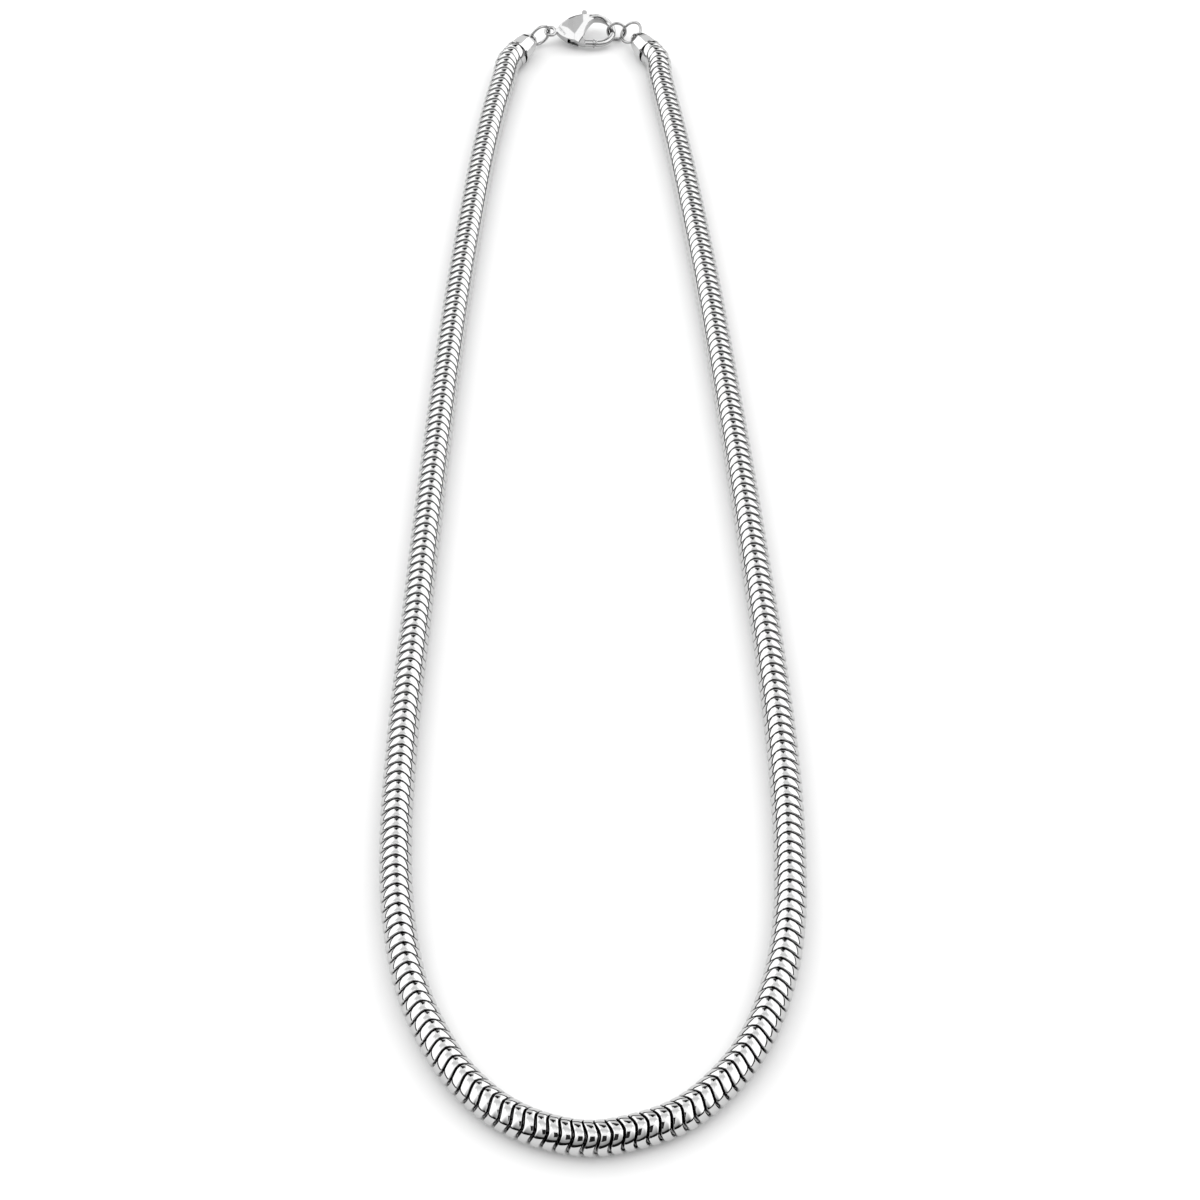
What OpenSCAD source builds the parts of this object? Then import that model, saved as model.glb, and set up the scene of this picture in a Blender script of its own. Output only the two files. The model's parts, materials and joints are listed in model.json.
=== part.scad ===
// Snake chain necklace laid out flat, closed by two end caps, jump rings and a lobster clasp.
// Millimetres. The origin is the middle of the outline, on the surface that the chain lies on.
// +Y points from the round neck curve to the clasp, +Z up.

/* [Chain] */
// Outer diameter of the chain
chain_d = 5.2; // [4.0:0.1:6.0]
// Number of flat sides of the swept chain solid
chain_sides = 12; // [8:1:16]

/* [End caps] */
// Length of a cap from its rim to its tip
cap_len = 5.85; // [5.5:0.05:6.2]
// Number of flats round a cap
cap_flats = 8; // [6:2:10]
// Height of the rim's lip over the chain
lip_h = 0.04; // [0.02:0.02:0.2]
// Length of the rim's lip
lip_len = 0.35; // [0.25:0.05:0.6]
// Distance from a cap's middle line to its flats at the rim
flat_rim_r = 2.38; // [2.34:0.02:2.42]
// Distance from a cap's middle line to its flats at the tip
flat_tip_r = 1.2; // [1.1:0.05:1.4]
// Radius of the soldered core at the chain's ends
core_r = 1.8; // [1.5:0.1:1.9]
// Radial gap between the core and the cap's socket
socket_gap = 0.05; // [0.03:0.01:0.1]
// Depth of the socket in the cap
socket_depth = 2.0; // [1.2:0.1:2.4]
// Gap between the chain's end and the cap, at the rim and at the socket's floor
seat_gap = 0.1; // [0.05:0.05:0.2]
// Distance of the drilled eye from the tip
eye_back = 0.55; // [0.53:0.01:0.7]

/* [Rings] */
// Radius of the round wire of the rings
wire_r = 0.3; // [0.2:0.01:0.35]
// Mean radius of the ring at the left cap
left_ring_r = 2.28; // [2.2:0.02:2.34]
// Mean radius of the ring at the right cap
right_ring_r = 2.32; // [2.26:0.02:2.4]
// Mean radius of the ring in the clasp's hook
clasp_ring_r = 1.86; // [1.84:0.02:1.96]
// Gap that is kept between linked pieces
link_gap = 0.08; // [0.05:0.01:0.12]

/* [Clasp] */
// Mean radius of the clasp's eye
eye_ring_r = 1.03; // [1.0:0.01:1.15]
// Radius of the eye's round section
eye_bar_r = 0.37; // [0.3:0.01:0.4]
// Distance from the eye to the middle of the hook's bow
bow_x = 9.8; // [9.6:0.1:10.0]
// Radius of the bow's middle line
bow_r = 3.3; // [3.2:0.05:3.4]
// Radius of the bow's round bar
bow_bar_r = 0.66; // [0.55:0.01:0.7]
// Thickness of the clasp's base
base_t = 3.0; // [2.8:0.1:3.4]
// Thickness of the slot between the two cheeks
slot_t = 1.3; // [1.1:0.1:1.5]
// Gap between the lever and each cheek
cheek_gap = 0.1; // [0.05:0.01:0.15]
// Distance from the eye to the lever's pivot
pivot_x = 4.85; // [4.6:0.05:5.0]
// Offset of the lever's pivot towards the gate
pivot_off = 1.3; // [1.2:0.05:1.4]
// Radius of the lever's pin
pin_r = 0.4; // [0.3:0.05:0.5]
// Radial gap between the pin and the cheeks
pin_gap = 0.03; // [0.02:0.01:0.05]
// Radial gap between the pin and the lever
hub_gap = 0.05; // [0.03:0.01:0.08]
// Radius of the gate's round bar
gate_bar_r = 0.7; // [0.55:0.05:0.75]
// Distance from the pivot to the end of the gate
gate_reach = 4.85; // [4.7:0.05:4.9]
// Gap between the gate's end and the hook's tip
tip_gap = 0.12; // [0.08:0.01:0.2]
// Radius of the lever's hub round its pin
hub_r = 1.15; // [0.9:0.05:1.2]
// Distance of the thumb nub from the clasp's middle line
nub_end = 4.8; // [4.5:0.1:5.2]
// Radius of the thumb nub's end
nub_r = 0.56; // [0.4:0.02:0.6]
// Height of the clasp's eye above the surface
eye_h = 2.95; // [2.9:0.05:3.1]

/* [Hidden] */
$fn = 48;
metal = "gainsboro";

// Middle line of the chain seen from above, from the left cap round the neck curve to the right cap
route = [
    [-18.5, 108], [-19.5, 102], [-21.5, 87], [-23.5, 66], [-25.5, 40], [-27, 14], [-28, -7],
    [-29, -33], [-30, -60], [-30, -77], [-29.5, -86], [-28.5, -94], [-26.5, -103], [-23, -111.5],
    [-18.5, -118.5], [-12.5, -124], [-6, -127], [0, -128], [6, -127], [12.5, -124.5],
    [18.5, -119.5], [23, -113.5], [26.5, -105.5], [28.5, -98], [29.5, -91], [30, -82], [30, -65],
    [29, -45], [27.5, -25], [25.5, 0], [23.5, 22.5], [21.5, 44], [19, 67], [17, 84], [15, 98.5],
    [13.5, 109]];
// Rings of the swept solid in each span of the route
span_steps = 2;

// Shift that brings the middle of the whole outline to the origin
mid_y = 0.5;

// How the pieces lie: turns about Z, slopes and leans in degrees
left_cap_at = [-16.0, 116.85];
left_cap_turn = 58.5;
left_cap_slope = 1;
left_ring_turn = 33.5;
left_ring_lean = 98;
clasp_turn = 2;
clasp_lean = 15;
clasp_slope = 4.4;
clasp_ring_lean = 86;
clasp_ring_rise = 7;
link_drop = -18;
right_ring_in = [-29.5, 21.6];
right_ring_out = [-62, -0.5];
right_cap_turn = 121.4;

chain_r = chain_d / 2;
socket_r = core_r + socket_gap;
cap_r = chain_r + lip_h;
lever_t = slot_t - 2 * cheek_gap;
pivot = [pivot_x, -pivot_off, 0];
bow_off = 0.4;
bow_inner_r = bow_r - bow_bar_r;
flat_turn = 40;
nub_x = pivot_x + 2.4;
flange_len = 0.3;
flange_h = 0.22;
flange_x = pivot_x + gate_reach - 0.85;

function dir(turn, slope) = [cos(turn) * cos(slope), sin(turn) * cos(slope), sin(slope)];
function unit(v) = v / norm(v);
function lean_y(a, v) = [cos(a) * v[0] + sin(a) * v[2], v[1], cos(a) * v[2] - sin(a) * v[0]];
function lean_x(a, v) = [v[0], cos(a) * v[1] - sin(a) * v[2], sin(a) * v[1] + cos(a) * v[2]];
function turn_z(a, v) = [cos(a) * v[0] - sin(a) * v[1], sin(a) * v[0] + cos(a) * v[1], v[2]];

// Where each piece sits, worked out along the closure from the left cap to the right cap
cap_eye = cap_len - eye_back;
left_axis = dir(left_cap_turn, left_cap_slope);
left_rim = [left_cap_at[0], left_cap_at[1] + mid_y, cap_r];
left_eye = left_rim + cap_eye * left_axis;
left_ring_slope = asin((eye_h - left_eye[2]) / (2 * left_ring_r));
left_ring_dir = dir(left_ring_turn, left_ring_slope);
left_ring_at = left_eye + left_ring_r * left_ring_dir;
eye_slack = eye_ring_r - eye_bar_r - wire_r - link_gap;
clasp_at = left_ring_at + left_ring_r * left_ring_dir + [eye_slack, 0, 0];

function on_clasp(p) = clasp_at + turn_z(clasp_turn, lean_x(clasp_lean, lean_y(clasp_slope, p)));
arm_at = on_clasp([bow_x + bow_r, bow_off, 0]);
clasp_ring_at = arm_at
    + (clasp_ring_r - wire_r - link_gap - bow_bar_r) * dir(0, clasp_ring_rise);
clasp_ring_up = [0, cos(clasp_ring_lean), sin(clasp_ring_lean)];
link_at = clasp_ring_at + (clasp_ring_r - 2 * wire_r - link_gap)
    * (cos(link_drop) * [1, 0, 0] + sin(link_drop) * clasp_ring_up);
right_in = dir(right_ring_in[0], right_ring_in[1]);
right_out = dir(right_ring_out[0], right_ring_out[1]);
right_ring_at = link_at + right_ring_r * right_in;
right_ring_normal = unit(cross(right_out, right_in));
right_eye = right_ring_at + right_ring_r * right_out;
right_cap_slope = -asin((cap_r - right_eye[2]) / cap_eye);
right_axis = dir(right_cap_turn, right_cap_slope);
right_rim = right_eye - cap_eye * right_axis;

// The chain's middle line in space: it runs straight for a little way out of each cap
lead = 2.5;
path = concat(
    [left_rim - seat_gap * left_axis, left_rim - lead * left_axis],
    [for (p = route) [p[0], p[1] + mid_y, chain_r]],
    [right_rim - lead * right_axis, right_rim - seat_gap * right_axis]);
last = len(path) - 1;

function span(i) = norm(path[i + 1] - path[i]);
function slope_at(i) =
    i == 0 ? unit(path[1] - path[0]) :
    i == last ? unit(path[last] - path[last - 1]) :
    unit(span(i) * unit(path[i] - path[i - 1]) + span(i - 1) * unit(path[i + 1] - path[i]));
function blend(i, t) =
    (2 * t * t * t - 3 * t * t + 1) * path[i] + (t * t * t - 2 * t * t + t) * span(i) * slope_at(i)
    + (3 * t * t - 2 * t * t * t) * path[i + 1] + (t * t * t - t * t) * span(i) * slope_at(i + 1);

// The chain never dips below the surface that it lies on
function lifted(p) = [p[0], p[1], max(p[2], chain_r)];

// Swept rings: [middle, heading, radius], with the narrower core at each end
core_len = socket_depth - seat_gap;
stations = concat(
    [[left_rim + core_len * left_axis, -left_axis, core_r], [path[0], -left_axis, core_r]],
    [for (i = [0:last - 1], k = [0:span_steps - 1])
        let (t = k / span_steps)
        [lifted(blend(i, t)), unit(blend(i, t + 0.01) - blend(i, t)), chain_r]],
    [[path[last], right_axis, chain_r], [path[last], right_axis, core_r],
        [right_rim + core_len * right_axis, right_axis, core_r]]);
rings = len(stations);

function ring_of_points(s) =
    let (side = unit(cross(s[1], [0, 0, 1])), up = cross(side, s[1]))
    [for (k = [0:chain_sides - 1])
        s[0] + s[2] * (sin(360 * k / chain_sides) * side - cos(360 * k / chain_sides) * up)];

module snake_chain() {
    n = chain_sides;
    sides = [for (i = [0:rings - 2], k = [0:n - 1])
        [i * n + k, i * n + (k + 1) % n, (i + 1) * n + (k + 1) % n, (i + 1) * n + k]];
    start = [for (k = [n - 1:-1:0]) k];
    end = [for (k = [0:n - 1]) (rings - 1) * n + k];
    color(metal) polyhedron(
        [for (s = stations) each ring_of_points(s)],
        concat(sides, [start, end]));
}

module ring(mean_r, bar_r) {
    rotate_extrude() translate([mean_r, 0]) circle(bar_r);
}

module aimed(at, turn, slope) {
    translate(at) rotate([0, 0, turn]) rotate([0, -slope, 0]) children();
}

// A ring whose plane holds the direction from its middle, leaned about that direction
module placed_left_ring(bar_r) {
    aimed(left_ring_at, left_ring_turn, left_ring_slope)
        rotate([left_ring_lean, 0, 0]) ring(left_ring_r, bar_r);
}

module placed_right_ring(bar_r) {
    translate(right_ring_at)
        rotate([0, acos(right_ring_normal[2]), atan2(right_ring_normal[1], right_ring_normal[0])])
            ring(right_ring_r, bar_r);
}

function flat_r(t) = flat_rim_r - (flat_rim_r - flat_tip_r) * pow(t, 2.4);

// Bullet shaped cap along +X: its rim at the origin, its tip at cap_len
module cap_shell() {
    steps = 8;
    edge = 0.2;
    body_len = cap_len - lip_len - edge;
    upper = [for (k = [0:steps]) [lip_len / 2 + (body_len + lip_len / 2) * k / steps, flat_r(k / steps)]];
    lower = [for (k = [steps:-1:0]) [upper[k][0], -upper[k][1]]];
    profile = concat(upper, [[cap_len, flat_tip_r - edge], [cap_len, edge - flat_tip_r]], lower);
    difference() {
        union() {
            rotate([0, 90, 0]) cylinder(h = lip_len, r = cap_r);
            intersection_for (k = [0:cap_flats / 2 - 1])
                rotate([360 / cap_flats * k + flat_turn, 0, 0])
                    linear_extrude(4 * cap_r, center = true) polygon(profile);
        }
        translate([-1, 0, 0]) rotate([0, 90, 0]) cylinder(h = socket_depth + 1, r = socket_r);
    }
}

module end_cap_left() {
    color(metal) difference() {
        aimed(left_rim, left_cap_turn, left_cap_slope) cap_shell();
        placed_left_ring(wire_r + link_gap);
    }
}

module end_cap_right() {
    color(metal) difference() {
        aimed(right_rim, right_cap_turn, right_cap_slope) mirror([0, 1, 0]) cap_shell();
        placed_right_ring(wire_r + link_gap);
    }
}

module jump_ring_left() {
    color(metal) placed_left_ring(wire_r);
}

module jump_ring_right() {
    color(metal) placed_right_ring(wire_r);
}

module clasp_ring() {
    color(metal) translate(clasp_ring_at) rotate([clasp_ring_lean, 0, 0])
        ring(clasp_ring_r, wire_r);
}

module on_clasp_frame() {
    translate(clasp_at) rotate([clasp_lean, 0, clasp_turn]) rotate([0, clasp_slope, 0]) children();
}

function curve(a, b, c, n) =
    [for (k = [0:n]) let (t = k / n) (1 - t) * (1 - t) * a + 2 * t * (1 - t) * b + t * t * c];

// Outline of the cast base: spine, neck, gate side, then the mouth of the hook
neck_x = eye_ring_r + 0.2;
neck_w = 0.42;
cheek_end = [bow_x - 3.3, -3.45];
mouth_low = [bow_x - 2.95, -2.3];
mouth_top = [bow_x + 0.1, bow_off + bow_r - 0.35];
base_outline = concat(
    curve([bow_x + 0.1, bow_off + bow_r + 0.35], [bow_x - 4.6, 4.75], [neck_x, neck_w], 12),
    curve([neck_x, -neck_w], [bow_x - 6.7, -2.9], cheek_end, 8),
    curve(mouth_low, [bow_x - 2.7, 2.3], mouth_top, 8));

// Side view of the base: distance from the eye and half thickness, all tied to base_t
base_sections = [
    [0.6, 0.4], [neck_x, 0.45], [neck_x + 1, 0.75 * base_t / 2], [pivot_x - 1.2, 0.95 * base_t / 2],
    [pivot_x, base_t / 2], [pivot_x + 2, base_t / 2], [bow_x - 1.5, bow_bar_r + 0.35],
    [bow_x + 0.1, 0.8 * bow_bar_r]];
base_side = concat(base_sections,
    [for (k = [len(base_sections) - 1:-1:0]) [base_sections[k][0], -base_sections[k][1]]]);

// Rounding of the spine's edge: a wide cone on each face
spine_r = 9;
spine_at = [bow_x - 1.7, bow_off + bow_r + bow_bar_r - spine_r + 0.45];
spine_fall = 0.75;

// Space between the cheeks that the lever swings in
slot_wall = hub_r + 0.15;
slot_outline = [
    [pivot_x - slot_wall, -6], [pivot_x - slot_wall, -pivot_off], [nub_x - 3.4, 6],
    [nub_x + 0.85, 6], [nub_x + 0.4, 3], [nub_x - 0.35, 1], [nub_x - 0.6, -0.3],
    [bow_x, -0.3], [bow_x, -6]];

// A cut above a slanted plane: level along turn, rising to its left from the height rise
module bevel(from, turn, rise, slope) {
    size = 12;
    translate([from[0], from[1], rise]) rotate([0, 0, turn]) rotate([slope, 0, 0])
        translate([-size / 2, -size / 2, 0]) cube([size, size, 3]);
}

module both_faces() {
    children();
    mirror([0, 0, 1]) children();
}

module base_plate() {
    depth = 14;
    mouth_turn = 60;
    teardrop_turn = -56;
    difference() {
        intersection() {
            translate([0, 0, -base_t]) linear_extrude(2 * base_t) polygon(base_outline);
            translate([0, depth / 2, 0]) rotate([90, 0, 0])
                linear_extrude(depth) polygon(base_side);
            translate([spine_at[0], spine_at[1], 0]) both_faces()
                cylinder(h = base_t, r1 = spine_r, r2 = spine_r - spine_fall * base_t);
        }
        both_faces() {
            bevel([bow_x - 3.85, -0.1], mouth_turn, base_t / 2 - 0.05, 28);
            bevel([neck_x + 2, 0.1], teardrop_turn, 0.88 * base_t / 2, 22);
        }
        translate([0, 0, -slot_t / 2]) linear_extrude(slot_t) polygon(slot_outline);
        translate(pivot) cylinder(h = slot_t + 0.8, r = pin_r + pin_gap, center = true);
    }
}

module bow() {
    tip_turn = -108;
    root_turn = 112;
    difference() {
        translate([bow_x, bow_off, 0]) rotate([0, 0, tip_turn])
            rotate_extrude(angle = root_turn - tip_turn) translate([bow_r, 0]) circle(bow_bar_r);
        translate(pivot) cylinder(h = base_t, r = gate_reach + tip_gap, center = true);
    }
}

module clasp_body() {
    color(metal) on_clasp_frame() {
        ring(eye_ring_r, eye_bar_r);
        base_plate();
        bow();
    }
}

module clasp_pin() {
    color(metal) on_clasp_frame() translate(pivot)
        cylinder(h = slot_t + 0.8 - 2 * pin_gap, r = pin_r, center = true);
}

gate_off = bow_off - bow_r + 0.02;
gate_from = bow_x - 2.7;
lever_outline = [
    [nub_x - nub_r, nub_end], [nub_x - nub_r - 0.15, 3.2],
    [pivot_x - hub_r, -pivot_off], [pivot_x, -pivot_off - hub_r],
    [gate_from - 0.7, gate_off - gate_bar_r + 0.25], [gate_from + 0.1, gate_off - gate_bar_r + 0.15],
    [gate_from + 0.1, gate_off + gate_bar_r], [gate_from - 0.5, gate_off + gate_bar_r + 0.1],
    [pivot_x + hub_r, -pivot_off + 0.5], [nub_x - 0.55, 1], [nub_x + 0.3, 3], [nub_x + nub_r, nub_end]];

module clasp_lever() {
    color(metal) on_clasp_frame() difference() {
        union() {
            translate([0, 0, -lever_t / 2]) linear_extrude(lever_t) polygon(lever_outline);
            translate(pivot) cylinder(h = lever_t, r = hub_r, center = true);
            translate([nub_x, nub_end, 0]) cylinder(h = lever_t, r = nub_r, center = true);
            intersection() {
                translate([0, gate_off, 0]) rotate([0, 90, 0]) {
                    translate([0, 0, gate_from]) cylinder(h = gate_reach, r = gate_bar_r);
                    translate([0, 0, flange_x]) cylinder(h = flange_len, r = gate_bar_r + flange_h);
                }
                translate(pivot) cylinder(h = base_t, r = gate_reach, center = true);
            }
        }
        translate(pivot) cylinder(h = base_t, r = pin_r + hub_gap, center = true);
    }
}

snake_chain();
end_cap_left();
end_cap_right();
jump_ring_left();
jump_ring_right();
clasp_ring();
clasp_body();
clasp_lever();
clasp_pin();
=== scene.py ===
"""Round snake chain necklace that lies closed on a pale table inside a light tent.

The solids of the frame keep every size and place. This script gives them their looks: about
three hundred waved links grow along the chain's route, the caps, rings and clasp get their
cast, drawn and polished finishes, and the camera stands where the photograph was taken.
"""

import json
import logging
import math
from dataclasses import dataclass
from enum import Enum
from typing import Any

import bmesh
import bpy
from mathutils import Matrix, Vector

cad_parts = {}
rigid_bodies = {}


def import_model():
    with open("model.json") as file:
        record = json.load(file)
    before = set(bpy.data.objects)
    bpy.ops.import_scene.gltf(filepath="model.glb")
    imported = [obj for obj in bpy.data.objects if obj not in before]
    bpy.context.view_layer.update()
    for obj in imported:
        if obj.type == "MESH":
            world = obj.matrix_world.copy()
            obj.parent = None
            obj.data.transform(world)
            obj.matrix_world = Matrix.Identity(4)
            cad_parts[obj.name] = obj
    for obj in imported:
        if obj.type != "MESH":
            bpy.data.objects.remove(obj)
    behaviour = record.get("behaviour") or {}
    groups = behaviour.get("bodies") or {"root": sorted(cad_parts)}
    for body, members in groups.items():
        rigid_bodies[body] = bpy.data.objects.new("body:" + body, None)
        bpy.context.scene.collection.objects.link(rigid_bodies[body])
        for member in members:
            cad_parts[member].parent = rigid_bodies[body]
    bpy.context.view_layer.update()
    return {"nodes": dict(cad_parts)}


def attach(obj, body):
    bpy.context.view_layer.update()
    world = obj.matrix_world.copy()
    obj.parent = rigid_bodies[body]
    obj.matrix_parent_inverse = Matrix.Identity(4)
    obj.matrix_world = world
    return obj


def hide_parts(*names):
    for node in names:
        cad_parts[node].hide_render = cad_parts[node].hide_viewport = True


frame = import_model()
LOG = logging.getLogger("snake_chain_necklace")
MM = 0.001
UP = Vector((0.0, 0.0, 1.0))
# Points round a plain round section, such as the soldered core
ROUND_POINTS = 20


def linear(colour: str) -> tuple[float, float, float, float]:
    """Turns an sRGB colour into the linear values that a shader takes.

    Args:
        colour: Hex digits such as "d9dadc".

    Returns:
        Red, green and blue in linear light, and an alpha of one.
    """
    parts = [int(colour[i:i + 2], 16) / 255 for i in (0, 2, 4)]
    red, green, blue = (c / 12.92 if c <= 0.04045 else ((c + 0.055) / 1.055) ** 2.4 for c in parts)
    return red, green, blue, 1.0


def add_node(tree: bpy.types.NodeTree, kind: str, inputs: dict[Any, Any] | None = None,
             **settings: Any) -> bpy.types.Node:
    """Adds one node with its settings, and links or sets its inputs.

    Args:
        tree: Node tree that gets the node.
        kind: Blender's type name of the node.
        inputs: Socket name or number, with the output to link or the value to set.
        **settings: Attributes of the node.

    Returns:
        The new node.
    """
    node = tree.nodes.new(kind)
    for name, value in settings.items():
        setattr(node, name, value)
    for key, value in (inputs or {}).items():
        socket = node.inputs[key]
        if isinstance(value, bpy.types.NodeSocket):
            tree.links.new(value, socket)
        else:
            socket.default_value = value
    return node


def direction(turn: float, slope: float) -> Vector:
    """Unit vector from a turn about Z and a slope above the table, both in degrees."""
    flat, rise = math.radians(turn), math.radians(slope)
    level = math.cos(rise)
    return Vector((math.cos(flat) * level, math.sin(flat) * level, math.sin(rise)))


def new_piece(name: str, mesh: bpy.types.Mesh) -> bpy.types.Object:
    """Puts a mesh into the scene as an object at the origin."""
    piece = bpy.data.objects.new(name, mesh)
    bpy.context.scene.collection.objects.link(piece)
    return piece


def closed_sweep(shape: bmesh.types.BMesh, loops: list[list[Vector]], round_trip: bool) -> None:
    """Skins a row of equal rings of points into a closed surface.

    Args:
        shape: Mesh that gets the faces.
        loops: Rings of points, each ring closed in itself.
        round_trip: True where the last ring joins the first, else both ends are capped.
    """
    rings = [[shape.verts.new(p) for p in loop] for loop in loops]
    pairs = list(zip(rings, rings[1:]))
    if round_trip:
        pairs.append((rings[-1], rings[0]))
    count = len(rings[0])
    for one, two in pairs:
        for k in range(count):
            shape.faces.new((one[k], one[(k + 1) % count], two[(k + 1) % count], two[k]))
    if not round_trip:
        shape.faces.new(list(reversed(rings[0])))
        shape.faces.new(rings[-1])


def finished_mesh(name: str, shape: bmesh.types.BMesh, sharp: float) -> bpy.types.Mesh:
    """Turns a bmesh into a smooth mesh with outward faces.

    Args:
        name: Name of the mesh.
        shape: Source, which is freed.
        sharp: Edges steeper than this angle in degrees stay sharp.

    Returns:
        The mesh.
    """
    bmesh.ops.recalc_face_normals(shape, faces=shape.faces)
    mesh = bpy.data.meshes.new(name)
    shape.to_mesh(mesh)
    shape.free()
    mesh.polygons.foreach_set("use_smooth", [True] * len(mesh.polygons))
    mesh.set_sharp_from_angle(angle=math.radians(sharp))
    return mesh


@dataclass(frozen=True)
class PolishedSteel:
    """Stainless steel, cast or stamped, tumble polished and plated with rhodium.

    To the eye it is a nearly white mirror. Fine tumbling marks soften its reflections a
    little, and painted shade darkens its colour in the grooves and gaps.

    Attributes:
        name: Name of the material.
        tone: Colour of the polished face.
        groove_shade_tone: Colour of the painted shade deep in a groove.
        shade_reach_mm: How far the painted shade reaches out of a groove.
        roughness: Mean roughness of the polish.
        marks_mm: Spacing of the tumbling marks.
        marks_depth_mm: Depth of the tumbling marks.
        edge_mm: Radius of the edges broken by tumbling, or zero.
    """

    name: str
    tone: str
    groove_shade_tone: str
    shade_reach_mm: float
    roughness: float
    marks_mm: float
    marks_depth_mm: float
    edge_mm: float = 0.0

    # Share of open sky at which the painted groove shade is deepest, and at which it is gone
    DARKEST, CLEAN = 0.46, 0.78

    def material(self) -> bpy.types.Material:
        """Builds the material once and returns it."""
        ready = bpy.data.materials.get(self.name)
        if ready:
            return ready
        made = bpy.data.materials.new(self.name)
        made.use_nodes = True
        tree = made.node_tree
        tree.nodes.clear()
        place = add_node(tree, "ShaderNodeTexCoord")
        marks = add_node(tree, "ShaderNodeTexNoise", {
            "Vector": place.outputs["Object"], "Scale": 1 / (self.marks_mm * MM), "Detail": 3.0,
            "Roughness": 0.6})
        blotch = add_node(tree, "ShaderNodeTexNoise", {
            "Vector": place.outputs["Object"], "Scale": 1 / (9 * self.marks_mm * MM),
            "Detail": 2.0})
        haze = add_node(tree, "ShaderNodeMapRange", {
            "Value": blotch.outputs[0], "From Min": 0.35, "From Max": 0.7,
            "To Min": self.roughness * 0.8, "To Max": self.roughness * 1.35})
        # Painted shade: ambient occlusion blends the colour from the tone towards the dark groove
        # tone in grooves and gaps
        occlusion = add_node(tree, "ShaderNodeAmbientOcclusion", {"Distance": self.shade_reach_mm * MM},
                          samples=8)
        reach = add_node(tree, "ShaderNodeMapRange", {
            "Value": occlusion.outputs["AO"], "From Min": self.DARKEST,
            "From Max": self.CLEAN})
        shaded_tone = add_node(tree, "ShaderNodeMix", {
            0: reach.outputs[0], 6: linear(self.groove_shade_tone), 7: linear(self.tone)},
            data_type="RGBA")
        relief = {"Height": marks.outputs[0], "Strength": 0.6,
                  "Distance": self.marks_depth_mm * MM}
        if self.edge_mm:
            edge = add_node(tree, "ShaderNodeBevel", {"Radius": self.edge_mm * MM}, samples=6)
            relief["Normal"] = edge.outputs[0]
        bump = add_node(tree, "ShaderNodeBump", relief)
        shader = add_node(tree, "ShaderNodeBsdfPrincipled", {
            "Base Color": shaded_tone.outputs[2], "Metallic": 1.0, "Roughness": haze.outputs[0],
            "Normal": bump.outputs[0]})
        add_node(tree, "ShaderNodeOutputMaterial", {"Surface": shader.outputs[0]})
        return made


class Metal(Enum):
    """The finishes of this necklace."""

    # The second colour of each finish is its painted shade, deep in grooves and gaps
    LINKS = PolishedSteel("steel_stamped_links_tumble_polished", "c2c2c2", "0c0c0d", 0.5, 0.05,
                          0.35, 0.0006)
    CAPS = PolishedSteel("steel_turned_caps_polished", "cacaca", "232426", 0.4, 0.09, 0.3, 0.0008,
                         0.08)
    WIRE = PolishedSteel("steel_drawn_wire_polished", "a2a2a2", "303133", 0.3, 0.1, 0.3, 0.001)
    CAST = PolishedSteel("steel_cast_clasp_satin_polished", "b4b4b4", "18191a", 0.5, 0.13, 0.3,
                         0.0006, 0.12)


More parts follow.
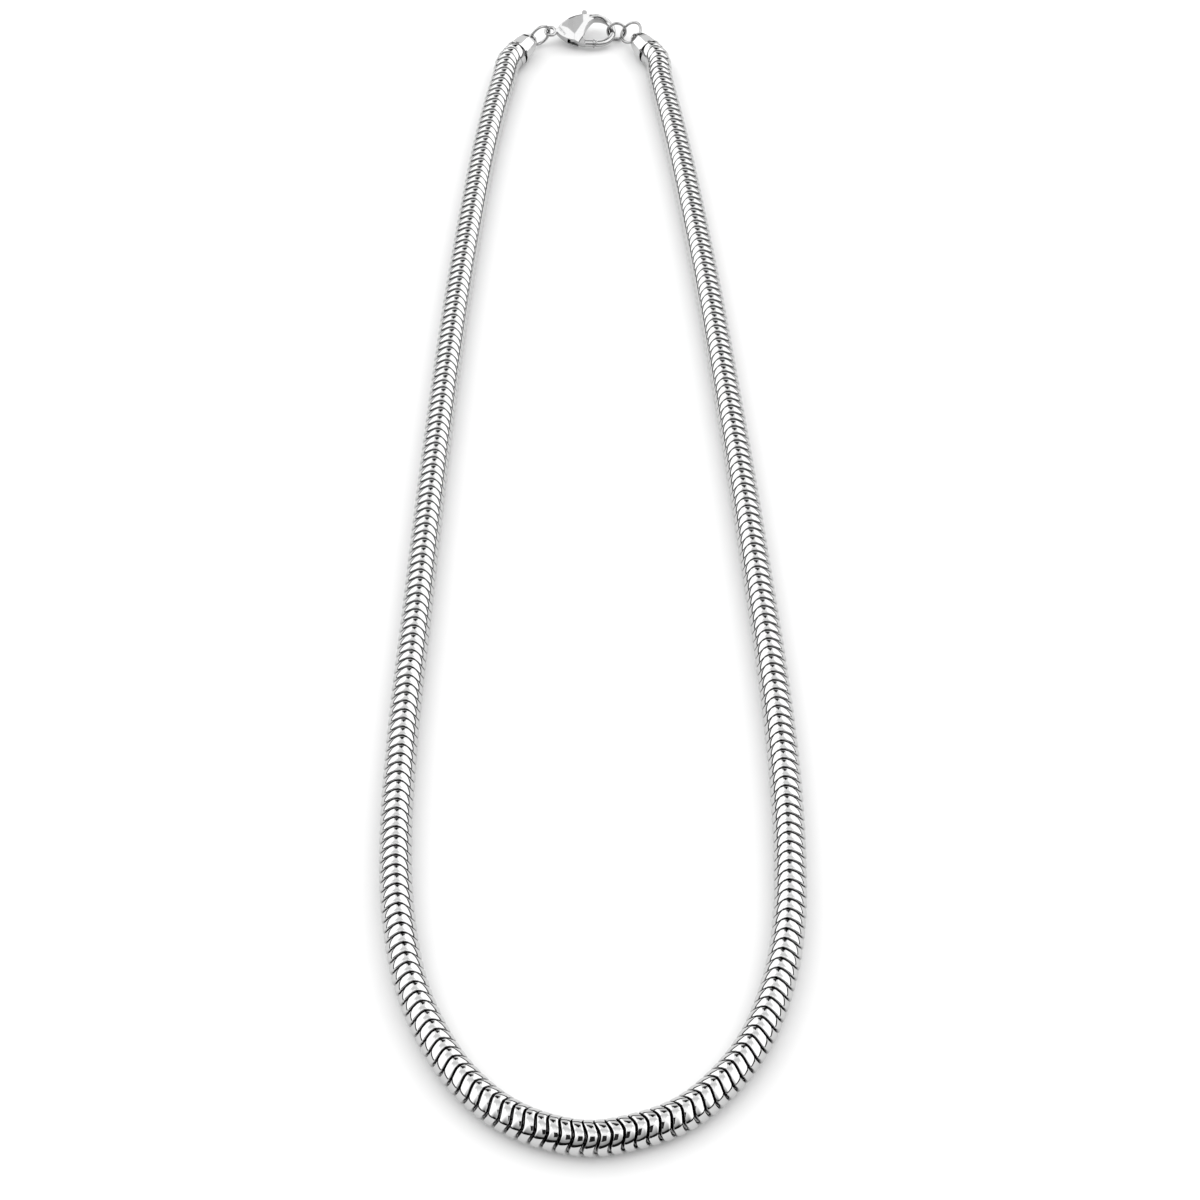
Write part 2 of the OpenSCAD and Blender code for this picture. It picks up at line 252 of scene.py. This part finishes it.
@dataclass
class SnakeChain:
    """Waved links threaded along the route, each tucked under the next one's skirt.

    Sizes are in millimetres and turns in degrees. A place round a link is measured from
    the loop's outside, over the top.

    Attributes:
        outer_d: Outer diameter of a link.
        pitch: Wanted distance from link to link, which is fitted to a whole number of links.
        band: Share of the pitch that a link's outer band covers.
        wave: Height of a crest over the link's middle.
        crests: Number of crests round a link.
        flat_crest: Share of the finer wave that flattens the crests.
        ridge: How far the outside dips between the crests and their valleys.
        crown: How far the band's rims lie under its middle.
        first_turn: Place of the crest on the first strand.
        last_turn: Place of the crest on the second strand.
        turn_from: Share of the route where the crests start to turn.
        turn_to: Share of the route where they have turned.
        most_lean: Greatest lean of a link.
        sides: Number of steps round a link.
        seat_gap: Gap between the chain's end and a cap.
        lead: Length of the straight stretch at a cap.
        core_r: Radius of the soldered core in a cap.
        core_depth: How deep the core runs into a cap.
        left_rim: Middle of the left cap's rim.
        left_axis: Turn and slope of the left cap, from its rim to its tip.
        right_rim: Middle of the right cap's rim.
        right_axis: Turn and slope of the right cap.
        mid_y: Shift of the route that centres the whole necklace.
    """

    outer_d: float = 5.2
    pitch: float = 1.716
    band: float = 0.915
    wave: float = 0.35
    crests: int = 3
    flat_crest: float = 0.04
    ridge: float = 0.03
    crown: float = 0.33
    first_turn: float = 95.5
    last_turn: float = 160.5
    turn_from: float = 0.45
    turn_to: float = 0.54
    most_lean: float = 9.0
    sides: int = 24
    seat_gap: float = 0.1
    lead: float = 2.5
    core_r: float = 1.8
    core_depth: float = 1.9
    left_rim: tuple[float, float, float] = (-16.0, 117.35, 2.64)
    left_axis: tuple[float, float] = (58.5, 1.0)
    right_rim: tuple[float, float, float] = (11.54, 117.83, 2.64)
    right_axis: tuple[float, float] = (121.4, 0.1)
    mid_y: float = 0.5

    # Share of the route, and share of the greatest lean there: none at the caps and in the curve
    LEANING = ((0.0, 0.0), (0.02, 0.5), (0.06, 1.0), (0.2, 0.7), (0.3, 0.6), (0.42, 0.5),
               (0.47, 0.0), (0.53, 0.0), (0.58, -0.5), (0.7, -0.6), (0.8, -0.7), (0.94, -1.0),
               (0.98, -0.5), (1.0, 0.0))
    ROUTE = (
        (-18.5, 108), (-19.5, 102), (-21.5, 87), (-23.5, 66), (-25.5, 40), (-27, 14), (-28, -7),
        (-29, -33), (-30, -60), (-30, -77), (-29.5, -86), (-28.5, -94), (-26.5, -103),
        (-23, -111.5), (-18.5, -118.5), (-12.5, -124), (-6, -127), (0, -128), (6, -127),
        (12.5, -124.5), (18.5, -119.5), (23, -113.5), (26.5, -105.5), (28.5, -98), (29.5, -91),
        (30, -82), (30, -65), (29, -45), (27.5, -25), (25.5, 0), (23.5, 22.5), (21.5, 44),
        (19, 67), (17, 84), (15, 98.5), (13.5, 109))

    def route(self) -> list[Vector]:
        """Middle line of the chain in millimetres, in steps of about half a millimetre."""
        radius = self.outer_d / 2
        left, right = direction(*self.left_axis), direction(*self.right_axis)
        start, end = Vector(self.left_rim), Vector(self.right_rim)
        knots = [start - self.seat_gap * left, start - self.lead * left]
        knots += [Vector((x, y + self.mid_y, radius)) for x, y in self.ROUTE]
        knots += [end - self.lead * right, end - self.seat_gap * right]
        spans = [(b - a).length for a, b in zip(knots, knots[1:])]
        heads = [(b - a).normalized() for a, b in zip(knots, knots[1:])]
        slopes = [heads[0]]
        for i in range(1, len(knots) - 1):
            slopes.append((spans[i] * heads[i - 1] + spans[i - 1] * heads[i]).normalized())
        slopes.append(heads[-1])
        line = []
        for i, span in enumerate(spans):
            steps = max(2, round(span * 2))
            for k in range(steps):
                t = k / steps
                near, far = 2 * t**3 - 3 * t**2 + 1, 3 * t**2 - 2 * t**3
                leave, arrive = t**3 - 2 * t**2 + t, t**3 - t**2
                point = (near * knots[i] + leave * span * slopes[i]
                         + far * knots[i + 1] + arrive * span * slopes[i + 1])
                point.z = max(point.z, radius)
                line.append(point)
        return line + [knots[-1]]

    def trimmed(self, line: list[Vector], cut: float) -> list[Vector]:
        """Shortens a line at both ends.

        Args:
            line: Points in order.
            cut: Length to take off each end.

        Returns:
            The shorter line.
        """
        for _ in range(2):
            left = cut
            while (line[1] - line[0]).length < left:
                left -= (line[1] - line[0]).length
                line = line[1:]
            line = [line[0] + (line[1] - line[0]).normalized() * left] + line[1:]
            line = line[::-1]
        return line

    def section(self) -> list[tuple[float, float]]:
        """Section of a link's band: distance along the chain and depth under the outside."""
        half = self.band * self.pitch / 2
        return [(-half, self.crown), (-0.8 * half, 0.24 * self.crown), (-0.5 * half, 0.02),
                (0.5 * half, 0.02), (0.8 * half, 0.24 * self.crown), (half, self.crown),
                (half + 0.02, 0.6), (half + 0.36, 0.66), (-half, 0.52)]

    def link(self) -> bpy.types.Object:
        """Builds one waved link round the Z axis, with its crest at zero degrees."""
        loops = []
        for k in range(self.sides):
            turn = 2 * math.pi * k / self.sides
            swing = (math.cos(self.crests * turn) + self.flat_crest * math.cos(
                3 * self.crests * turn)) / (1 + self.flat_crest)
            dip = self.ridge * (1 - math.cos(2 * self.crests * turn)) / 2
            radius = self.outer_d / 2 - dip
            loops.append([
                Vector(((radius - depth) * math.cos(turn), -(radius - depth) * math.sin(turn),
                        along - self.wave * swing)) * MM for along, depth in self.section()])
        shape = bmesh.new()
        closed_sweep(shape, loops, round_trip=True)
        return new_piece("one_link", finished_mesh("one_link", shape, 40))

    def draw_leaning(self, mapping: bpy.types.CurveMapping) -> None:
        """Draws how the lean runs along the route, with one half for upright links."""
        points = mapping.curves[0].points
        while len(points) < len(self.LEANING):
            points.new(0.5, 0.5)
        for point, (share, lean) in zip(points, self.LEANING):
            point.location = (share, 0.5 + lean / 2)
        mapping.update()

    def threading_tree(self) -> bpy.types.GeometryNodeTree:
        """Node tree that sets one link at each pitch of the route, slowly turning."""
        tree = bpy.data.node_groups.new("links_threaded_on_route", "GeometryNodeTree")
        wanted = {"Route": "NodeSocketGeometry", "Link": "NodeSocketObject",
                  "Link Count": "NodeSocketInt", "First Turn": "NodeSocketFloat",
                  "Last Turn": "NodeSocketFloat", "Turn From": "NodeSocketFloat",
                  "Turn To": "NodeSocketFloat", "Most Lean": "NodeSocketFloat",
                  "Finish": "NodeSocketMaterial"}
        for name, kind in wanted.items():
            tree.interface.new_socket(name, in_out="INPUT", socket_type=kind)
        tree.interface.new_socket("Links", in_out="OUTPUT", socket_type="NodeSocketGeometry")
        given = add_node(tree, "NodeGroupInput").outputs
        line = add_node(tree, "GeometryNodeMeshToCurve", {"Mesh": given["Route"]})
        spots = add_node(tree, "GeometryNodeCurveToPoints", {
            "Curve": line.outputs[0], "Count": given["Link Count"]}, mode="COUNT")
        outward = add_node(tree, "ShaderNodeVectorMath", {0: spots.outputs["Tangent"], 1: UP},
                           operation="CROSS_PRODUCT")
        aim = add_node(tree, "FunctionNodeAxesToRotation", {
            0: spots.outputs["Tangent"], 1: outward.outputs[0]},
            primary_axis="Z", secondary_axis="X")
        index = add_node(tree, "GeometryNodeInputIndex")
        share = add_node(tree, "ShaderNodeMath", {
            0: index.outputs[0], 1: given["Link Count"]}, operation="DIVIDE")
        turn = add_node(tree, "ShaderNodeMapRange", {
            "Value": share.outputs[0], "From Min": given["Turn From"],
            "From Max": given["Turn To"], "To Min": given["First Turn"],
            "To Max": given["Last Turn"]}, interpolation_type="SMOOTHSTEP")
        back = add_node(tree, "ShaderNodeMath", {0: turn.outputs[0], 1: -math.pi / 180},
                        operation="MULTIPLY")
        twist = add_node(tree, "FunctionNodeAxisAngleToRotation", {
            "Axis": UP, "Angle": back.outputs[0]})
        facing = add_node(tree, "FunctionNodeRotateRotation", {
            0: aim.outputs[0], 1: twist.outputs[0]}, rotation_space="LOCAL")
        leaning = add_node(tree, "ShaderNodeFloatCurve", {"Value": share.outputs[0]})
        self.draw_leaning(leaning.mapping)
        signed = add_node(tree, "ShaderNodeMapRange", {
            "Value": leaning.outputs[0], "To Min": math.pi / 180, "To Max": -math.pi / 180})
        lean = add_node(tree, "ShaderNodeMath", {
            0: signed.outputs[0], 1: given["Most Lean"]}, operation="MULTIPLY")
        tip = add_node(tree, "FunctionNodeAxisAngleToRotation", {
            "Axis": UP, "Angle": lean.outputs[0]})
        leant = add_node(tree, "FunctionNodeRotateRotation", {
            0: facing.outputs[0], 1: tip.outputs[0]}, rotation_space="GLOBAL")
        source = add_node(tree, "GeometryNodeObjectInfo", {
            "Object": given["Link"], "As Instance": True}, transform_space="ORIGINAL")
        row = add_node(tree, "GeometryNodeInstanceOnPoints", {
            "Points": spots.outputs["Points"], "Instance": source.outputs["Geometry"],
            "Rotation": leant.outputs[0]})
        plain = add_node(tree, "GeometryNodeRealizeInstances", {"Geometry": row.outputs[0]})
        dressed = add_node(tree, "GeometryNodeSetMaterial", {
            "Geometry": plain.outputs[0], "Material": given["Finish"]})
        add_node(tree, "NodeGroupOutput", {"Links": dressed.outputs[0]})
        return tree

    def soldered_ends(self, mesh: bpy.types.Mesh) -> None:
        """Adds the squeezed core that runs into each cap's socket."""
        shape = bmesh.new()
        shape.from_mesh(mesh)
        for rim, axis in ((self.left_rim, self.left_axis), (self.right_rim, self.right_axis)):
            heading = direction(*axis)
            side = heading.cross(UP).normalized()
            top = side.cross(heading)
            loops = []
            squeezed = ((-1.5, 1.55), (-0.2, self.core_r), (self.core_depth, self.core_r))
            for along, radius in squeezed:
                loop = []
                for k in range(ROUND_POINTS):
                    turn = math.tau * k / ROUND_POINTS
                    out = math.cos(turn) * side + math.sin(turn) * top
                    loop.append((Vector(rim) + along * heading + radius * out) * MM)
                loops.append(loop)
            core = bmesh.new()
            closed_sweep(core, loops, round_trip=False)
            bmesh.ops.recalc_face_normals(core, faces=core.faces)
            part = bpy.data.meshes.new("soldered_core")
            core.to_mesh(part)
            core.free()
            shape.from_mesh(part)
            bpy.data.meshes.remove(part)
        shape.to_mesh(mesh)
        shape.free()

    def build(self) -> bpy.types.Object:
        """Threads the links along the route and puts them in the place of the plain tube."""
        line = self.route()
        length = sum((b - a).length for a, b in zip(line, line[1:]))
        count = round(length / self.pitch)
        line = self.trimmed(line, length / count / 2)
        mesh = bpy.data.meshes.new("route")
        mesh.from_pydata([p * MM for p in line], [(i, i + 1) for i in range(len(line) - 1)], [])
        host = new_piece("route", mesh)
        source = self.link()
        tree = self.threading_tree()
        threading = host.modifiers.new("links", "NODES")
        threading.node_group = tree
        values = {"Link": source, "Link Count": count, "First Turn": self.first_turn,
                  "Last Turn": self.last_turn, "Turn From": self.turn_from,
                  "Turn To": self.turn_to, "Most Lean": self.most_lean,
                  "Finish": Metal.LINKS.value.material()}
        for item in tree.interface.items_tree:
            if item.name in values:
                threading[item.identifier] = values[item.name]
        host.update_tag()
        view = bpy.context.evaluated_depsgraph_get()
        links = bpy.data.meshes.new_from_object(host.evaluated_get(view), depsgraph=view)
        self.soldered_ends(links)
        for leftover in (host, source):
            bpy.data.objects.remove(leftover)
        chain = new_piece("snake_chain_links", links)
        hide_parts("snake_chain")
        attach(chain, "necklace")
        LOG.info("chain: %d links of %.3f mm on %.1f mm, %d faces", count, length / count, length,
                 len(links.polygons))
        return chain


@dataclass
class Fittings:
    """Caps, rings, lever and pin, whose solids keep their shape and get their finish.

    Attributes:
        caps: Names of the end caps.
        rings: Names of the rings.
        gate: Names of the clasp's moving gate and its pin.
    """

    caps: tuple[str, ...] = ("end_cap_left", "end_cap_right")
    rings: tuple[str, ...] = ("jump_ring_left", "jump_ring_right", "clasp_ring")
    gate: tuple[str, ...] = ("clasp_lever", "clasp_pin")

    def dress(self) -> None:
        """Gives every solid the finish of its slot."""
        finishes = ((self.caps, Metal.CAPS), (self.rings, Metal.WIRE), (self.gate, Metal.CAST))
        for names, metal in finishes:
            for name in names:
                solid = frame["nodes"][name]
                for slot in solid.material_slots:
                    slot.material = metal.value.material()
                LOG.info("%s: dressed with %s", name, metal.value.name)


@dataclass
class CastClasp:
    """Cast body of the claw: domed cheeks and a hook whose bow is a tall wall at its root.

    The cast is the solid with its domes and wall grown onto it, and tumbled edges. Sizes
    are in millimetres, places are measured from the middle of the eye.

    Attributes:
        at: Middle of the eye.
        turns: Roll, lean and turn of the clasp in degrees, in this order.
        bow_at: Middle of the bow.
        bow_r: Radius of the bow's middle line.
        wall: Half width and half height of the wall at its root.
        bar_r: Radius of the bow's bar, where the wall ends.
        wall_from: Turn where the wall starts, next to the hook.
        wall_to: Turn where the wall ends, just short of the slot that the lever's nub needs.
        dome_at: Middle of the domes.
        dome: Half length, half width and height of a dome.
        dome_turn: Turn of the domes.
        dome_root: Height where a dome grows out of its cheek.
        cell: Size of the cells that the cast is rebuilt from.
        tumbling: Number of smoothing steps.
    """

    at: tuple[float, float, float] = (-9.153, 124.382, 2.95)
    turns: tuple[float, float, float] = (4.4, 15.0, 2.0)
    bow_at: tuple[float, float] = (9.8, 0.4)
    bow_r: float = 3.3
    wall: tuple[float, float] = (0.66, 1.15)
    bar_r: float = 0.6
    wall_from: float = 32.0
    wall_to: float = 117.0
    dome_at: tuple[float, float] = (5.1, 0.9)
    dome: tuple[float, float, float] = (3.9, 1.9, 1.5)
    dome_turn: float = 24.0
    dome_root: float = 0.95
    cell: float = 0.08
    tumbling: int = 24

    def frame(self) -> Matrix:
        """Where the clasp sits, from its own millimetres to the scene's metres."""
        roll, lean, turn = (math.radians(a) for a in self.turns)
        return (Matrix.Scale(MM, 4) @ Matrix.Translation(self.at) @ Matrix.Rotation(turn, 4, "Z")
                @ Matrix.Rotation(lean, 4, "X") @ Matrix.Rotation(roll, 4, "Y"))

    def bow_wall(self, shape: bmesh.types.BMesh) -> None:
        """Grows the tall wall of the bow, which thins out towards the hook."""
        loops, steps = [], 20
        for i in range(steps + 1):
            share = i / steps
            turn = math.radians(self.wall_from + share * (self.wall_to - self.wall_from))
            swell = min(1.0, 1.6 * share) ** 0.8
            wide = self.bar_r + swell * (self.wall[0] - self.bar_r)
            high = self.bar_r + swell * (self.wall[1] - self.bar_r)
            out = Vector((math.cos(turn), math.sin(turn), 0.0))
            middle = Vector((*self.bow_at, 0.0)) + self.bow_r * out
            turns = [math.tau * k / ROUND_POINTS for k in range(ROUND_POINTS)]
            loops.append([middle + wide * math.cos(a) * out + high * math.sin(a) * UP
                          for a in turns])
        closed_sweep(shape, loops, round_trip=False)

    def domes(self, shape: bmesh.types.BMesh) -> None:
        """Grows a dome on each cheek, clear of the slot between them."""
        turn = Matrix.Rotation(math.radians(self.dome_turn), 4, "Z")
        for side in (1, -1):
            half = bmesh.ops.create_uvsphere(shape, u_segments=40, v_segments=24, radius=1.0)
            for vert in half["verts"]:
                x, y, z = vert.co
                rise = side * max(self.dome[2] * z * side, self.dome_root)
                vert.co = turn @ Vector((self.dome[0] * x, self.dome[1] * y, rise))
                vert.co += Vector((*self.dome_at, 0.0))

    def build(self) -> bpy.types.Object:
        """Casts and tumbles the body and puts it in the place of the plain solid."""
        shape = bmesh.new()
        self.bow_wall(shape)
        self.domes(shape)
        bmesh.ops.recalc_face_normals(shape, faces=shape.faces)
        shape.transform(self.frame())
        solid = frame["nodes"]["clasp_body"]
        plain = solid.data.copy()
        plain.transform(solid.matrix_world)
        shape.from_mesh(plain)
        raw = bpy.data.meshes.new("clasp_casting")
        shape.to_mesh(raw)
        shape.free()
        host = new_piece("clasp_casting", raw)
        cells = host.modifiers.new("even_cells", "REMESH")
        cells.mode = "VOXEL"
        cells.voxel_size = self.cell * MM
        rounded = host.modifiers.new("tumbled", "SMOOTH")
        rounded.factor = 0.5
        rounded.iterations = self.tumbling
        host.update_tag()
        view = bpy.context.evaluated_depsgraph_get()
        mesh = bpy.data.meshes.new_from_object(host.evaluated_get(view), depsgraph=view)
        mesh.polygons.foreach_set("use_smooth", [True] * len(mesh.polygons))
        mesh.materials.clear()
        mesh.materials.append(Metal.CAST.value.material())
        bpy.data.objects.remove(host)
        cast = new_piece("clasp_body_cast", mesh)
        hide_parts("clasp_body")
        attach(cast, "necklace")
        LOG.info("clasp body: %d faces", len(mesh.polygons))
        return cast


@dataclass
class LightTent:
    """White table between two tall soft lights, with a dark slit round the table.

    Brightness is one where a white sheet just turns white in the picture.

    Attributes:
        floor_tone: Colour of the table.
        side_light: Brightness of the soft lights at the left and the right.
        front_wall: Brightness of the wall under the camera, at its foot.
        back_wall: Brightness of the wall behind the clasp.
        back_edge: Brightness of that wall's upper edge.
        roof: Brightness of the roof behind the middle.
        slit: Brightness of the slit between table and front wall.
        foot: Brightness at the foot of the side lights and the back wall.
    """

    floor_tone: str = "e4e4e4"
    side_light: float = 2.1
    front_wall: float = 0.42
    back_wall: float = 1.05
    back_edge: float = 0.55
    roof: float = 1.08
    slit: float = 0.012
    foot: float = 0.02

    # Distance in metres from the table's middle to its edges
    TABLE_REACH = 20.0
    # Corners in millimetres: the camera with its stand, and the tent's open top behind the clasp
    CAMERA_BODY = ((-95, -250, 470), (95, -250, 470), (95, -420, 250), (-95, -420, 250))
    OPEN_TOP = ((-55, 600, 900), (55, 600, 900), (470, 1500, 900), (-470, 1500, 900))

    def bands(self, tree: bpy.types.NodeTree, height: bpy.types.NodeSocket,
              levels: list[tuple[float, float]]) -> bpy.types.NodeSocket:
        """Brightness of one part of the tent over the height of the view direction.

        Args:
            tree: World tree.
            height: Z of the view direction.
            levels: Heights with the brightness there.

        Returns:
            The output with the brightness, as a share of the side lights.
        """
        ramp = add_node(tree, "ShaderNodeValToRGB", {"Fac": height})
        stops = ramp.color_ramp.elements
        stops.remove(stops[1])
        stops[0].position = levels[0][0]
        stops[0].color = (levels[0][1] / self.side_light,) * 3 + (1.0,)
        for at, level in levels[1:]:
            stops.new(at).color = (level / self.side_light,) * 3 + (1.0,)
        return ramp.outputs[0]

    def fade(self, tree: bpy.types.NodeTree, value: bpy.types.NodeSocket, start: float,
             end: float) -> bpy.types.NodeSocket:
        """Output that runs softly from zero at start to one at end."""
        return add_node(tree, "ShaderNodeMapRange", {
            "Value": value, "From Min": start, "From Max": end},
            interpolation_type="SMOOTHSTEP").outputs[0]

    def sky(self) -> None:
        """Builds the tent as the world's light."""
        world = bpy.data.worlds.new("light_tent")
        bpy.context.scene.world = world
        world.use_nodes = True
        tree = world.node_tree
        tree.nodes.clear()
        way = add_node(tree, "ShaderNodeTexCoord")
        parts = add_node(tree, "ShaderNodeSeparateXYZ", {0: way.outputs["Generated"]}).outputs
        across = add_node(tree, "ShaderNodeMath", {0: parts[0]}, operation="ABSOLUTE").outputs[0]
        flat = add_node(tree, "ShaderNodeVectorMath", {
            0: way.outputs["Generated"], 1: (1.0, 1.0, 0.0)}, operation="MULTIPLY")
        level_way = add_node(tree, "ShaderNodeVectorMath", {0: flat.outputs[0]},
                             operation="NORMALIZE")
        forward = add_node(tree, "ShaderNodeSeparateXYZ", {0: level_way.outputs[0]}).outputs[1]
        front = self.bands(tree, parts[2], [
            (0.0, self.slit), (0.29, self.slit), (0.32, self.front_wall),
            (0.5, self.front_wall * 1.4), (0.76, self.front_wall * 2.4), (0.88, 1.45), (1.0, 1.6)])
        side = self.bands(tree, parts[2], [
            (0.0, self.foot), (0.15, self.foot), (0.2, self.side_light), (1.0, self.side_light)])
        roof = self.bands(tree, parts[2], [
            (0.0, self.foot), (0.15, self.foot), (0.2, self.side_light), (0.82, self.side_light),
            (0.88, self.roof), (1.0, self.roof)])
        sides = add_node(tree, "ShaderNodeMix", {
            0: self.fade(tree, parts[1], 0.12, 0.34), 6: side, 7: roof}, data_type="RGBA")
        walls = add_node(tree, "ShaderNodeMix", {
            0: self.fade(tree, forward, -0.45, -0.75), 6: sides.outputs[2], 7: front},
            data_type="RGBA")
        back = self.bands(tree, parts[2], [
            (0.0, self.foot), (0.12, self.foot), (0.17, self.back_wall), (0.55, self.back_wall),
            (0.58, self.back_edge), (0.63, self.back_edge), (0.67, 1.35), (0.82, 1.45),
            (0.88, self.roof), (0.95, self.roof), (1.0, 1.6)])
        near_middle = add_node(tree, "ShaderNodeMath", {
            0: self.fade(tree, across, 0.3, 0.2), 1: self.fade(tree, parts[1], -0.2, 0.15)},
            operation="MULTIPLY")
        whole = add_node(tree, "ShaderNodeMix", {
            0: near_middle.outputs[0], 6: walls.outputs[2], 7: back}, data_type="RGBA")
        light = add_node(tree, "ShaderNodeBackground", {
            "Color": whole.outputs[2], "Strength": self.side_light})
        add_node(tree, "ShaderNodeOutputWorld", {"Surface": light.outputs[0]})

    def table(self) -> None:
        """Lays the white table under the necklace."""
        mesh = bpy.data.meshes.new("table")
        reach = self.TABLE_REACH
        mesh.from_pydata([(-reach, -reach, 0), (reach, -reach, 0), (reach, reach, 0),
                          (-reach, reach, 0)], [], [(0, 1, 2, 3)])
        table = new_piece("table", mesh)
        paper = bpy.data.materials.new("matt_white_paper")
        paper.use_nodes = True
        shader = paper.node_tree.nodes["Principled BSDF"]
        shader.inputs["Base Color"].default_value = linear(self.floor_tone)
        shader.inputs["Roughness"].default_value = 0.95
        shader.inputs["Specular IOR Level"].default_value = 0.1
        mesh.materials.append(paper)

    def dark_panel(self, name: str, tone: str,
                   corners: tuple[tuple[float, float, float], ...]) -> None:
        """Hangs a dark panel over the table that is seen only in reflections.

        Args:
            name: Name of the object.
            tone: Colour of its cloth.
            corners: Its corners in millimetres.
        """
        mesh = bpy.data.meshes.new(name)
        mesh.from_pydata([Vector(c) * MM for c in corners], [], [(0, 1, 2, 3)])
        panel = new_piece(name, mesh)
        cloth = bpy.data.materials.new(f"{name}_cloth")
        cloth.use_nodes = True
        shader = cloth.node_tree.nodes["Principled BSDF"]
        shader.inputs["Base Color"].default_value = linear(tone)
        shader.inputs["Roughness"].default_value = 0.9
        mesh.materials.append(cloth)
        panel.visible_camera = False
        panel.visible_diffuse = False
        panel.visible_shadow = False

    def build(self) -> None:
        """Builds table, tent and dark panels."""
        self.sky()
        self.table()
        self.dark_panel("camera_body", "050505", self.CAMERA_BODY)
        self.dark_panel("open_top", "0a0a0a", self.OPEN_TOP)
        LOG.info("light tent: side lights at %.2f, front wall at %.2f", self.side_light,
                 self.front_wall)


@dataclass
class PhotoCamera:
    """Camera above the neck curve that looks down along the necklace.

    Attributes:
        at_mm: Place of the camera.
        down: Angle below the horizon in degrees.
        lens_mm: Focal length on a 36 mm sensor.
    """

    at_mm: tuple[float, float, float] = (1.2, -273.6, 294.32)
    down: float = 50.16
    lens_mm: float = 68.67

    def build(self) -> None:
        """Sets the camera up."""
        data = bpy.data.cameras.new("photo_camera")
        data.sensor_width = 36.0
        data.lens = self.lens_mm
        data.clip_start = 0.01
        camera = bpy.data.objects.new("photo_camera", data)
        camera.location = Vector(self.at_mm) * MM
        camera.rotation_euler = (math.radians(90 - self.down), 0.0, 0.0)
        scene = bpy.context.scene
        scene.collection.objects.link(camera)
        scene.camera = camera
        scene.view_settings.view_transform = "Standard"
        scene.view_settings.look = "None"
        LOG.info("camera: %.0f mm lens, %.2f degrees down", self.lens_mm, self.down)


def main() -> None:
    """Builds the camera, the necklace and its light in order."""
    logging.basicConfig(level=logging.INFO, format="%(name)s: %(message)s")
    PhotoCamera().build()
    SnakeChain().build()
    Fittings().dress()
    CastClasp().build()
    LightTent().build()


if __name__ == "__main__":
    main()
